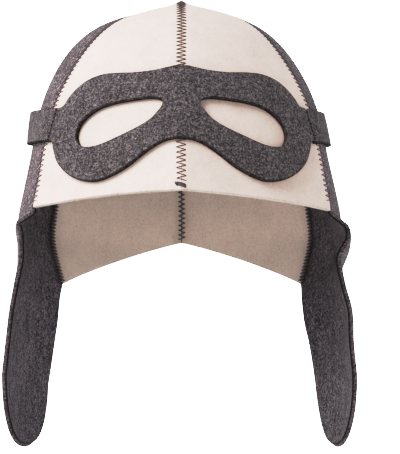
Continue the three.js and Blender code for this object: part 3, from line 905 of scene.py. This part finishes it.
def zigzagLine(seam, hatSide, low, high, inside=False, period=None, halfWidth=None):
    period = period or stitch["period"]
    halfWidth = halfWidth or stitch["halfWidth"]
    samples = 9
    firstHole = math.ceil(arcAt(seam, low) / period * 2)
    lastHole = math.floor(arcAt(seam, high) / period * 2)
    legs = np.arange(firstHole, lastHole)[:, None]
    q = np.linspace(0, 1, samples, endpoint=False)[None, :]
    sign = np.where(legs % 2 == 0, -1, 1)
    apart = (sign * halfWidth * (1 - 2 * q)).reshape(-1)
    along = alongAtArc(seam, ((legs + q) * period / 2).reshape(-1))
    off = -stitch["sink"] + (stitch["lift"] + stitch["sink"]) * np.sin(np.pi * q) ** 0.5
    off = np.broadcast_to(off, (len(legs), samples))
    points, normals = besideSeam(seam, apart, along, off.reshape(-1), hatSide, inside)
    if hatSide["side"] < 0:
        points = points * [-1, 1, 1]
        normals = normals * [-1, 1, 1]
    return points, normals


def newMaterial(name):
    material = bpy.data.materials.new(name)
    material.use_nodes = True
    material.node_tree.nodes.clear()
    return material, material.node_tree


# Adds a node. An input is either another node's output, which is linked, or a fixed value.
def addNode(tree, kind, inputs, **settings):
    node = tree.nodes.new("ShaderNode" + kind)
    for setting, value in settings.items():
        setattr(node, setting, value)
    for place, value in inputs.items():
        if isinstance(value, bpy.types.NodeSocket):
            tree.links.new(value, node.inputs[place])
        else:
            node.inputs[place].default_value = value
    return node


def rgba(colour):
    return (*colour, 1)


def math2(tree, operation, a, b):
    return addNode(tree, "Math", {0: a, 1: b}, operation=operation).outputs[0]


def stretched(tree, vector, stretch, turn=(0.0, 0.0, 0.0)):
    return addNode(tree, "Mapping", {"Vector": vector, "Scale": stretch, "Rotation": turn}).outputs[0]


def noiseAt(tree, vector, scale, detail, rough=0.6):
    inputs = {"Vector": vector, "Scale": scale, "Detail": detail, "Roughness": rough}
    return addNode(tree, "TexNoise", inputs).outputs


# A random grey for every cell, which is one clump of fibres.
def clumpsAt(tree, vector, scale):
    cells = addNode(tree, "TexVoronoi", {"Vector": vector, "Scale": scale})
    return addNode(tree, "SeparateColor", {0: cells.outputs["Color"]}).outputs[0]


def weighed(tree, parts):
    total = None
    for value, weight in parts:
        term = math2(tree, "MULTIPLY", value, weight)
        total = term if total is None else math2(tree, "ADD", total, term)
    return total


def ramp(tree, value, stops):
    node = addNode(tree, "ValToRGB", {"Fac": value})
    elements = node.color_ramp.elements
    while len(elements) < len(stops):
        elements.new(0.5)
    for element, (place, colour) in zip(elements, stops):
        element.position = place
        element.color = rgba(colour)
    return node.outputs["Color"]


def blended(tree, share, one, other, mode="MIX"):
    inputs = {0: share, 6: one, 7: other}
    return addNode(tree, "Mix", inputs, data_type="RGBA", blend_type=mode).outputs[2]


# how the fibres of every felt lie, and the few pale hairs of some
fibres = {
    "lyingTurn": (0.2, 0.5, 0.7),
    "risingTurn": (0.35, 0.15, 0.0),
    "mix": (0.36, 0.36, 0.28),
    "smallScale": 1.9,
    "tintScale": 0.8,
    "streakStretch": 0.12,
    "hairScale": 260.0,
    "hairSpread": 1.6,
    "hairWidth": 0.006,
    "hairsFrom": 0.6,
    "hairColour": (0.4, 0.38, 0.4),
    "roughness": 0.95,
    "specular": 0.1,
    "sheenRoughness": 0.6,
    "bumpHeight": 0.0003,
}


# Colours are linear. The stops run over the mixed clumps and patches, from the darkest to the lightest.
def feltMaterial(name, look):
    material, tree = newMaterial(name)
    coords = addNode(tree, "TexCoord", {}).outputs["Object"]
    wander = noiseAt(tree, coords, look["wanderScale"], 2.0)["Color"]
    shift = {0: wander, 1: (look["wander"],) * 3, 2: coords}
    bent = addNode(tree, "VectorMath", shift, operation="MULTIPLY_ADD").outputs[0]
    lyingWay = stretched(tree, bent, (look["stretch"], 1, 1), fibres["lyingTurn"])
    risingWay = stretched(tree, bent, (1, 1, look["stretch"]), fibres["risingTurn"])
    lying = clumpsAt(tree, lyingWay, look["clumpScale"])
    rising = clumpsAt(tree, risingWay, look["clumpScale"])
    small = clumpsAt(tree, bent, look["clumpScale"] * fibres["smallScale"])
    mixed = weighed(tree, zip((lying, rising, small), fibres["mix"]))
    upright = stretched(tree, coords, (1, 1, fibres["streakStretch"]))
    streaks = noiseAt(tree, upright, look["streakScale"], 2.0)["Fac"]
    patches = noiseAt(tree, coords, look["patchScale"], 3.0)["Fac"]
    spread = weighed(
        tree,
        [
            (math2(tree, "SUBTRACT", mixed, 0.5), look["contrast"]),
            (math2(tree, "SUBTRACT", streaks, 0.5), look["streaks"]),
            (math2(tree, "SUBTRACT", patches, 0.5), look["patches"]),
        ],
    )
    colour = ramp(tree, math2(tree, "ADD", spread, 0.5), look["stops"])
    # some clumps are browner and some bluer
    tint = ramp(tree, clumpsAt(tree, bent, look["clumpScale"] * fibres["tintScale"]), look["tints"])
    colour = blended(tree, 1.0, colour, tint, "MULTIPLY")
    if look["hairs"]:
        # a hair is where a noise crosses its middle, and only here and there
        across = noiseAt(tree, bent, fibres["hairScale"], 1.0, 0.5)["Fac"]
        off = math2(tree, "ABSOLUTE", math2(tree, "SUBTRACT", across, 0.5), 0.0)
        line = math2(tree, "LESS_THAN", off, fibres["hairWidth"])
        where = noiseAt(tree, coords, fibres["hairScale"] * fibres["hairSpread"], 1.0, 0.5)["Fac"]
        few = math2(tree, "GREATER_THAN", where, fibres["hairsFrom"])
        hair = math2(tree, "MULTIPLY", math2(tree, "MULTIPLY", line, few), look["hairs"])
        colour = blended(tree, hair, colour, rgba(fibres["hairColour"]))
    # painted shade: where the shade attribute is high, the colour goes towards shadeColour
    shade = addNode(tree, "Attribute", {}, attribute_name="shade").outputs["Fac"]
    inputs = {"Value": shade, "From Min": look["shadeFrom"]}
    near = addNode(tree, "MapRange", inputs, interpolation_type="SMOOTHSTEP").outputs[0]
    colour = blended(tree, math2(tree, "MULTIPLY", near, look["shade"]), colour, rgba(look["shadeColour"]))
    inputs = {"Strength": look["bump"], "Distance": fibres["bumpHeight"], "Height": mixed}
    bump = addNode(tree, "Bump", inputs)
    inputs = {
        "Base Color": colour,
        "Roughness": fibres["roughness"],
        "Specular IOR Level": fibres["specular"],
        "Sheen Weight": look["sheen"],
        "Sheen Roughness": fibres["sheenRoughness"],
        "Sheen Tint": rgba(look["sheenTint"]),
        "Normal": bump.outputs[0],
    }
    shader = addNode(tree, "BsdfPrincipled", inputs)
    addNode(tree, "OutputMaterial", {0: shader.outputs[0]})
    return material


whiteLook = {
    "clumpScale": 1700.0, "stretch": 0.5, "wanderScale": 900.0, "wander": 0.0006,
    "contrast": 0.6, "streakScale": 500.0, "streaks": 0.2, "patchScale": 75.0, "patches": 0.9,
    "hairs": 0.0,
    "shade": 0.3, "shadeFrom": 0.0, "shadeColour": (0.45, 0.36, 0.30), "bump": 0.2,
    "sheen": 0.05, "sheenTint": (1.0, 0.95, 0.92),
    "tints": [(0.0, (1.0, 0.985, 0.97)), (1.0, (0.99, 1.0, 1.0))],
    "stops": [(0.1, (0.64, 0.54, 0.495)), (0.5, (0.78, 0.663, 0.613)), (0.9, (0.84, 0.725, 0.675))],
}
insideLook = dict(
    whiteLook, contrast=0.8, patches=0.55, shade=0.25, shadeColour=(0.3, 0.22, 0.17),
    stops=[(0.1, (0.60, 0.54, 0.495)), (0.5, (0.74, 0.668, 0.615)), (0.9, (0.795, 0.73, 0.675))],
)
whiteEdgeLook = dict(
    whiteLook, contrast=1.0, shade=0.35, bump=0.4,
    stops=[(0.1, (0.42, 0.38, 0.35)), (0.5, (0.60, 0.56, 0.52)), (0.9, (0.70, 0.66, 0.62))],
)
greyTints = [(0.0, (1.05, 0.99, 0.94)), (0.5, (1.0, 1.0, 1.0)), (1.0, (0.93, 0.98, 1.07))]
greyLook = {
    "clumpScale": 1750.0, "stretch": 0.5, "wanderScale": 1000.0, "wander": 0.0008,
    "contrast": 2.0, "streakScale": 420.0, "streaks": 0.3, "patchScale": 55.0, "patches": 0.3,
    "hairs": 0.0,
    "shade": 0.97, "shadeFrom": 0.35, "shadeColour": (0.006, 0.005, 0.006), "bump": 0.5,
    "sheen": 0.08, "sheenTint": (0.95, 0.93, 0.95), "tints": greyTints,
    "stops": [(0.02, (0.026, 0.022, 0.025)), (0.5, (0.105, 0.090, 0.100)), (0.98, (0.34, 0.31, 0.33))],
}
# The inside of the grey felt is painted darker than its outside, as shade inside the head; its streaks are
# the felt's own.
greyShadedInsideLook = dict(
    greyLook, contrast=2.3, streaks=0.9, patches=0.3, shadeFrom=0.0, shadeColour=(0.003, 0.003, 0.004),
    stops=[(0.02, (0.011, 0.010, 0.012)), (0.5, (0.049, 0.042, 0.051)), (0.98, (0.21, 0.19, 0.215))],
)
goggleLook = dict(
    greyLook, contrast=1.55, hairs=0.8, streaks=0.2,
    stops=[(0.02, (0.022, 0.019, 0.021)), (0.5, (0.082, 0.073, 0.080)), (0.98, (0.27, 0.25, 0.265))],
)
greyEdgeLook = dict(
    greyLook, contrast=1.5, sheen=0.03,
    stops=[(0.05, (0.026, 0.022, 0.025)), (0.5, (0.085, 0.073, 0.080)), (0.95, (0.24, 0.215, 0.23))],
)
# Nearly black: the goggles' own darker cut edge together with painted shade under them.
goggleEdgeWithShadeLook = dict(
    greyEdgeLook, sheen=0.0,
    stops=[(0.05, (0.011, 0.009, 0.010)), (0.5, (0.044, 0.037, 0.038)), (0.95, (0.12, 0.105, 0.105))],
)
threadLook = {
    "colour": (0.085, 0.064, 0.072), "darker": 0.6, "lighter": 1.6, "twistScale": 2600.0,
    "roughness": 0.65, "sheen": 0.15, "bump": 0.6, "bumpHeight": 0.0001,
}


def threadMaterial(name, look):
    material, tree = newMaterial(name)
    coords = addNode(tree, "TexCoord", {}).outputs["Object"]
    twist = noiseAt(tree, coords, look["twistScale"], 2.0)["Fac"]
    dark, light = [tuple(c * look[shade] for c in look["colour"]) for shade in ("darker", "lighter")]
    bump = addNode(tree, "Bump", {"Strength": look["bump"], "Distance": look["bumpHeight"], "Height": twist})
    inputs = {
        "Base Color": ramp(tree, twist, [(0.3, dark), (0.7, light)]),
        "Roughness": look["roughness"],
        "Sheen Weight": look["sheen"],
        "Normal": bump.outputs[0],
    }
    shader = addNode(tree, "BsdfPrincipled", inputs)
    addNode(tree, "OutputMaterial", {0: shader.outputs[0]})
    return material


whiteFelt = feltMaterial("white felt", whiteLook)
whiteInside = feltMaterial("white felt inside", insideLook)
whiteEdge = feltMaterial("white felt cut edge", whiteEdgeLook)
greyFelt = feltMaterial("grey felt", greyLook)
greyShadedInside = feltMaterial("grey felt inside with painted shade", greyShadedInsideLook)
greyEdge = feltMaterial("grey felt cut edge", greyEdgeLook)
goggleEdgeWithShade = feltMaterial("goggle felt cut edge with painted shade", goggleEdgeWithShadeLook)
goggleFelt = feltMaterial("goggle felt", goggleLook)
thread = threadMaterial("thread", threadLook)
print("materials made")

for hatSide in hatSides:
    gorePanel("front", hatSide, [whiteFelt, whiteEdge, whiteInside], "white_felt")
    gorePanel("back", hatSide, [whiteFelt, whiteEdge, whiteInside], "white_felt")
    sidePanel(hatSide, [greyFelt, greyEdge, greyShadedInside], "grey_felt")
print("panels made")

goggleBody([goggleFelt, goggleEdgeWithShade, goggleFelt], "dark_felt")
strapBody([goggleFelt, goggleEdgeWithShade, goggleFelt], "dark_felt")
print("goggles and strap made")

# Where each seam's thread runs, in shares of the way up, and its zigzag inside the head where that differs.
threads = {"outerRadius": 0.23, "innerHigh": 0.93}
seams = {
    "front": {"label": "front", "run": (0.037, 0.965), "inner": {}, "innerRadius": 0.34},
    "frontCorner": {"label": "front_side", "run": (0.022, 0.93), "inner": {}, "innerRadius": 0.34},
    "backCorner": {
        "label": "back_side",
        "run": (float(alongAtHeight(-27.5)), 0.93),
        "inner": {"period": 2.3, "halfWidth": 2.5},
        "innerRadius": 0.5,
    },
    "back": {
        "label": "back",
        "run": (float(alongAtHeight(crown["napeArchTop"])) + 0.008, 0.93),
        "inner": {},
        "innerRadius": 0.36,
    },
}
for seam, spec in seams.items():
    low, high = spec["run"]
    single = seam in ("front", "back")
    for hatSide in hatSides[1:] if single else hatSides:
        label = spec["label"] if single else f"{hatSide['name']}_{spec['label']}"
        outerLine = zigzagLine(seam, hatSide, low, high)
        innerLine = zigzagLine(seam, hatSide, low, threads["innerHigh"], inside=True, **spec["inner"])
        threadBody(f"{label}_seam_outer_thread", [outerLine], threads["outerRadius"], thread)
        threadBody(f"{label}_seam_inner_thread", [innerLine], spec["innerRadius"], thread)
print("seams sewn")

# The bar tack at the foot of the front seam. A stroke runs from one point to the other, in millimetres out
# from the seam and up from the rim.
barTack = {
    "radius": 0.38,
    "sink": 0.25,
    "lift": 0.5,
    "overlap": 0.1,
    "strokes": [
        ((-2.6, 6.3), (2.3, 4.8)), ((-2.4, 5.7), (2.3, 4.2)), ((-2.2, 5.1), (2.3, 3.7)),
        ((-2.0, 4.6), (2.3, 3.2)), ((-3.4, 6.4), (-2.4, 5.0)), ((-3.6, 5.6), (-2.6, 4.3)),
    ],
}
lines = []
for k, (start, end) in enumerate(barTack["strokes"]):
    q = np.linspace(0, 1, 16)
    apart = start[0] + (end[0] - start[0]) * q
    height = start[1] + (end[1] - start[1]) * q
    off = (barTack["lift"] + barTack["sink"]) * np.sin(np.pi * q) ** 0.25 - barTack["sink"]
    off = off + barTack["overlap"] * (k % 2)
    lines.append(besideSeam("front", apart, alongAtHeight(height), off, hatSides[1]))
threadBody("front_seam_bar_tack", lines, barTack["radius"], thread)

# The stitches between the goggles and their strap. halfSpan is a share of the strap's half height, and reach
# is in gores.
joint = {"stitches": 9, "halfSpan": 0.92, "reach": 0.021, "radius": 0.24, "sink": 0.3, "lift": 0.35}
for hatSide in hatSides:
    flip = [hatSide["side"], 1, 1]
    lines = []
    for share in np.linspace(-joint["halfSpan"], joint["halfSpan"], joint["stitches"]):
        q = np.linspace(-1, 1, 9)
        places = strapStart(share, hatSide) + q * joint["reach"]
        along = strapAlong(places, share, hatSide)
        off = (joint["lift"] + joint["sink"]) * np.cos(q * np.pi / 2) ** 0.5 - joint["sink"]
        off = off + felt["layerGap"] + felt["thickness"]
        line = easedAtNose(layerPoint(places, along, off, hatSide, felt["layerEase"])) * flip
        up = unit(line - layerPoint(places, along, 0.0, hatSide) * flip)
        lines.append((line, up))
    threadBody(f"{hatSide['name']}_goggle_joint_thread", lines, joint["radius"], thread)
print("goggles sewn to their strap")

floorLook = {"height": -0.36, "radius": 6.0, "colour": (0.88, 0.87, 0.86), "roughness": 0.8}
bpy.ops.mesh.primitive_circle_add(
    vertices=96, radius=floorLook["radius"], fill_type="NGON", location=(0, 0, floorLook["height"])
)
floor = bpy.context.object
floor.name = "floor"
paleFloor, tree = newMaterial("pale floor")
inputs = {"Base Color": rgba(floorLook["colour"]), "Roughness": floorLook["roughness"]}
shader = addNode(tree, "BsdfPrincipled", inputs)
addNode(tree, "OutputMaterial", {0: shader.outputs[0]})
floor.data.materials.append(paleFloor)
floor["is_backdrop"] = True

# towards is where a light comes from, and softness its width in the sky in degrees
white = (1.0, 1.0, 1.0)
suns = {
    "key": {"towards": (-0.63, -0.52, 0.58), "strength": 3.3, "softness": 35.0, "colour": (1.0, 0.92, 0.89)},
    "back": {"towards": (0.2, 0.85, 0.5), "strength": 0.5, "softness": 50.0, "colour": white},
    "rightRim": {"towards": (0.86, 0.45, 0.12), "strength": 1.3, "softness": 30.0, "colour": white},
    "leftRim": {"towards": (-0.9, 0.4, 0.15), "strength": 0.7, "softness": 30.0, "colour": white},
}
for name, spec in suns.items():
    light = bpy.data.lights.new(name, "SUN")
    light.energy = spec["strength"]
    light.color = spec["colour"]
    light.angle = math.radians(spec["softness"])
    lamp = bpy.data.objects.new(name, light)
    lamp.location = spec["towards"]
    lamp.rotation_euler = (-Vector(spec["towards"])).to_track_quat("-Z", "Y").to_euler()
    bpy.context.scene.collection.objects.link(lamp)

# a soft room that lights the hat, and the brighter backdrop that the camera sees
room = {"ambient": 0.33, "backdrop": 4.0}
world = bpy.data.worlds.new("studio")
bpy.context.scene.world = world
world.use_nodes = True
tree = world.node_tree
tree.nodes.clear()
fills = [addNode(tree, "Background", {"Color": rgba(white), "Strength": value}) for value in room.values()]
seen = addNode(tree, "LightPath", {}).outputs["Is Camera Ray"]
mix = addNode(tree, "MixShader", {0: seen, 1: fills[0].outputs[0], 2: fills[1].outputs[0]})
addNode(tree, "OutputWorld", {0: mix.outputs[0]})
print("studio lit")

# The view's tones: highlights are pressed together, dark tones stay apart.
tone = {"white": 2.0, "points": [(0.04, 0.06), (0.1, 0.17), (0.305, 0.70), (0.58, 0.888)]}
display = bpy.context.scene.view_settings
display.view_transform = "Standard"
display.use_curve_mapping = True
display.curve_mapping.white_level = (tone["white"],) * 3
for place, value in tone["points"]:
    display.curve_mapping.curves[3].points.new(place, value)
display.curve_mapping.update()

# focal, frame and middle are in pixels of the frame
view = {
    "distance": 1.0, "elevation": -11.0,
    "focal": 1639.0, "frame": (400.0, 454.0), "middle": 181.5, "sensor": 36.0,
}
wide, high = view["frame"]
camera = bpy.data.cameras.new("camera")
camera.sensor_width = view["sensor"]
camera.lens = view["sensor"] * view["focal"] / high
camera.shift_x = (wide / 2 - view["middle"]) / high
eye = bpy.data.objects.new("camera", camera)
tilt = math.radians(view["elevation"])
eye.location = (0, -view["distance"] * math.cos(tilt), view["distance"] * math.sin(tilt))
eye.rotation_euler = (math.radians(90) - tilt, 0, 0)
bpy.context.scene.collection.objects.link(eye)
bpy.context.scene.camera = eye

low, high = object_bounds()
